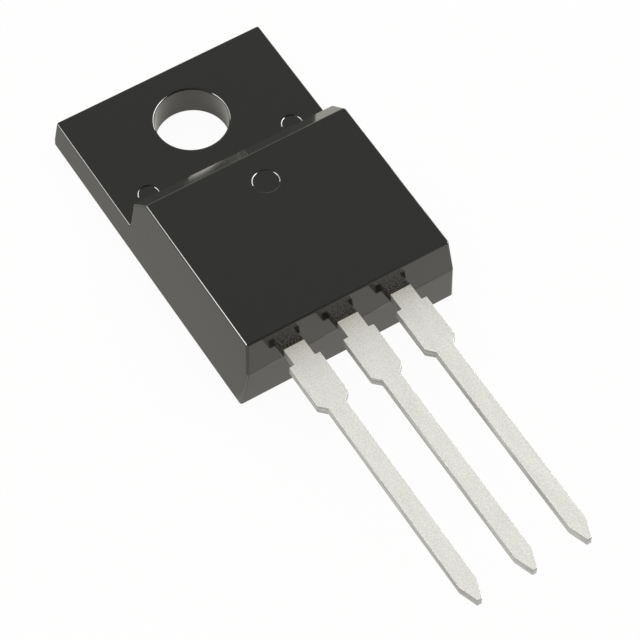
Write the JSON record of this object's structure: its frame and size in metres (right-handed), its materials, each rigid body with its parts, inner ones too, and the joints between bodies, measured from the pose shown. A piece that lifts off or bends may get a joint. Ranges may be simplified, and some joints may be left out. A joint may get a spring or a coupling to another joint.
{
  "type": "power transistor",
  "caption": "Flat block of black moulding compound with a drilled tab for a screw and a row of tinned leads, holding a die on an insulated copper pad.",
  "frame": {"origin": "on the axis of the screw hole, in the plane of the flat back face", "axes": "+Z out of the front face, along the screw hole; leads run along -Y; +X is to the right when the front is seen with the leads down"},
  "size_m": [0.0104, 0.0294, 0.0042],
  "materials": {
    "moulding_compound": "satin",
    "tinned_copper": "satin",
    "silicon": "gloss",
    "solder": "satin",
    "bond_wire": "satin"
  },
  "bodies": {
    "root": {"moulded_body": "moulding_compound", "centre_lead_and_pad": "tinned_copper", "left_lead": "tinned_copper", "right_lead": "tinned_copper", "die": "silicon", "die_solder": "solder", "control_wire": "bond_wire", "load_wire_1": "bond_wire", "load_wire_2": "bond_wire"}
  },
  "joints": []
}
